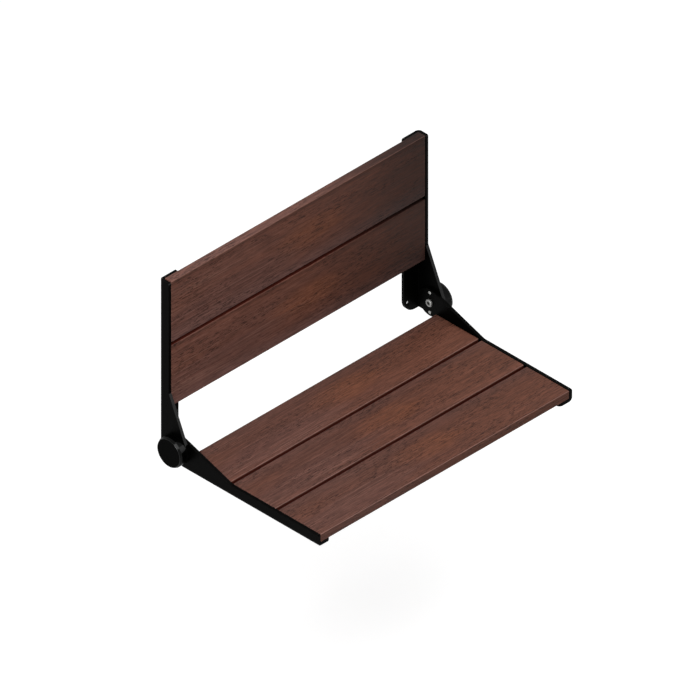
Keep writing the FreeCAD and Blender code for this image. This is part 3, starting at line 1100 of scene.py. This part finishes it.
@dataclass
class Softbox:
    """An area light that faces a point. A card shows in glossy surfaces alone."""

    name: str
    direction: Triple
    distance: float
    width: float
    height: float
    power: float
    card: bool = False

    def build(self, target: Vector) -> None:
        """Hangs the light at a distance from the target, in metres, and turns it there."""
        light = bpy.data.lights.new(self.name, "AREA")
        light.shape, light.energy = "RECTANGLE", self.power
        light.size, light.size_y = self.width, self.height
        lamp = bpy.data.objects.new(self.name, light)
        away = Vector(self.direction).normalized()
        lamp.location = target + away * self.distance
        lamp.rotation_euler = away.to_track_quat("Z", "Y").to_euler()
        lamp.visible_camera = False
        lamp.visible_diffuse = not self.card
        bpy.context.scene.collection.objects.link(lamp)
        LOG.info("light %s", self.name)


@dataclass
class Studio:
    """A white floor under soft light, and the camera of the photograph."""

    floor_level: float = -0.52
    floor_reach: float = 9.0
    floor_lines: int = 9
    floor_colour: Colour = (0.55, 0.55, 0.55)
    floor_glow: float = 0.72
    fill: float = 0.3
    azimuth: float = -45.0
    elevation: float = math.degrees(math.asin(math.sqrt(1 / 3)))
    frame_width: float = 1.2468
    camera_distance: float = 3.0
    target: Triple = (0.0, -0.1541, 0.0781)
    softboxes: Sequence[Softbox] = (
        Softbox("key", (-0.52, -0.42, 0.74), 2.3, 1.3, 1.3, 40.0),
        Softbox("top", (0.34, 0.16, 0.93), 2.3, 1.3, 1.3, 22.0),
        Softbox("front_card", (0.577, -0.776, 0.252), 1.8, 0.5, 1.6, 8.0, card=True),
        Softbox("left_card", (-0.79, -0.36, 0.4), 1.8, 0.8, 0.9, 11.0, card=True),
    )

    def build(self) -> None:
        """Makes the floor, world, lights and camera."""
        bpy.context.scene.view_settings.view_transform = "Standard"
        self.lay_floor()
        self.light_world()
        for softbox in self.softboxes:
            softbox.build(Vector(self.target))
        self.set_camera()

    def shown(self, graph: Graph) -> Field:
        """1 for rays from the camera, a gloss or a clear material, and 0 for the light on surfaces."""
        path = graph.node("ShaderNodeLightPath").outputs
        seen = Field(graph, path["Is Camera Ray"])
        for name in ("Is Glossy Ray", "Is Transmission Ray"):
            seen = seen.math("MAXIMUM", Field(graph, path[name]))
        return seen

    def lay_floor(self) -> None:
        """A plane grid under the seat that looks white and keeps the seat's shadow."""
        side = np.linspace(-self.floor_reach, self.floor_reach, self.floor_lines)
        x, y = np.meshgrid(side, side)
        points = np.stack([x, y, np.full_like(x, self.floor_level)], axis=-1)
        here = np.arange(x.size).reshape(x.shape)
        quads = np.stack([here[:-1, :-1], here[:-1, 1:], here[1:, 1:], here[1:, :-1]], axis=-1)
        mesh = bpy.data.meshes.new("studio_floor")
        mesh.from_pydata(points.reshape(-1, 3), [], quads.reshape(-1, 4).tolist())
        floor = bpy.data.objects.new("studio_floor", mesh)
        bpy.context.scene.collection.objects.link(floor)
        graph = Graph.material("studio_floor")
        matte = graph.node("ShaderNodeBsdfDiffuse", {}, {"Color": self.floor_colour}).outputs[0]
        strength = self.shown(graph) * self.floor_glow
        glow = graph.node("ShaderNodeEmission", {}, {"Strength": strength}).outputs[0]
        mesh.materials.append(graph.finish(graph.node("ShaderNodeAddShader", {}, {0: matte, 1: glow})))

    def light_world(self) -> None:
        """A white surround that gives surfaces an even, weaker fill."""
        world = bpy.data.worlds.new("studio")
        bpy.context.scene.world = world
        graph = Graph(world)
        strength = self.fill + (1.0 - self.fill) * self.shown(graph)
        values = {"Color": (1.0, 1.0, 1.0), "Strength": strength}
        graph.finish(graph.node("ShaderNodeBackground", {}, values))

    def set_camera(self) -> None:
        """A camera without perspective that looks down at the seat from its left front."""
        data = bpy.data.cameras.new("photo_camera")
        data.type, data.ortho_scale = "ORTHO", self.frame_width
        camera = bpy.data.objects.new("photo_camera", data)
        turn, rise = math.radians(self.azimuth), math.radians(self.elevation)
        back = Vector((math.sin(turn) * math.cos(rise), -math.cos(turn) * math.cos(rise), math.sin(rise)))
        camera.location = Vector(self.target) + back * self.camera_distance
        camera.rotation_mode = "QUATERNION"
        camera.rotation_quaternion = (-back).to_track_quat("-Z", "Y")
        bpy.context.scene.collection.objects.link(camera)
        bpy.context.scene.camera = camera


def dress_slats() -> None:
    """Replaces the back's and the seat's slats."""
    # Painted light and shade: each slat's lightness, the highlight on its edges and the back's darkening to
    # the right.
    Slats(Body.WALL_FRAME, BACK_SLATS, slat_painted_lightness=(1.09, 1.24), wear_and_highlight=(0.5, 0.05), fade=0.69).build()
    Slats(Body.SEAT, SEAT_SLATS, slat_painted_lightness=(1.03, 0.93, 0.9), wear_and_highlight=(1.0, 1.0, 1.0)).build()


def dress_screws(pivot: Vector) -> None:
    """Replaces the screws that hold the slats."""
    steel = BrightSteel(roughness=0.34).material("screw_steel", Lay.DRAWN, pivot)
    for name, node, slats, body, from_middle in (
        ("back_screws_threaded", "back_slat_screws", BACK_SLATS, Body.WALL_FRAME, 301.0),
        ("seat_screws_threaded", "seat_slat_screws", SEAT_SLATS, Body.SEAT, 298.65),
    ):
        screws = SlatScrews(name, node, slats, body, from_middle)
        add_piece(screws.build(), steel, body, Slot.STEEL, node)


def dress_hinges(pivot: Vector) -> None:
    """Coats the brackets and arms, and finishes the hinges at both ends."""
    bracket_coat = PowderCoat().material()
    arm_coat = PowderCoat(name="arm_coat", rim_gloss=0.0).material()
    cap_coat = PowderCoat(
        Slot.CAP,
        "cap_coat",
        gloss=0.009,
        roughness=0.3,
        pebble=1400.0,
        rim_gloss=1.0,
        rim_roughness=0.1,
    ).material()
    plastic = BearingPlastic().material()
    for side in Side:
        coat(side.node("wall_bracket"), bracket_coat)
        coat(side.node("seat_arm"), arm_coat)
        Hinge(side, pivot).dress(cap_coat, plastic)


def main() -> None:
    """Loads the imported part, dresses it piece by piece and sets up the studio."""
    logging.basicConfig(level=logging.INFO, format="%(name)s: %(message)s")
    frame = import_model()
    pivot = Vector(frame["joints"][0]["pos_m"])
    dress_slats()
    dress_screws(pivot)
    dress_hinges(pivot)
    Studio().build()


if __name__ == "__main__":
    main()
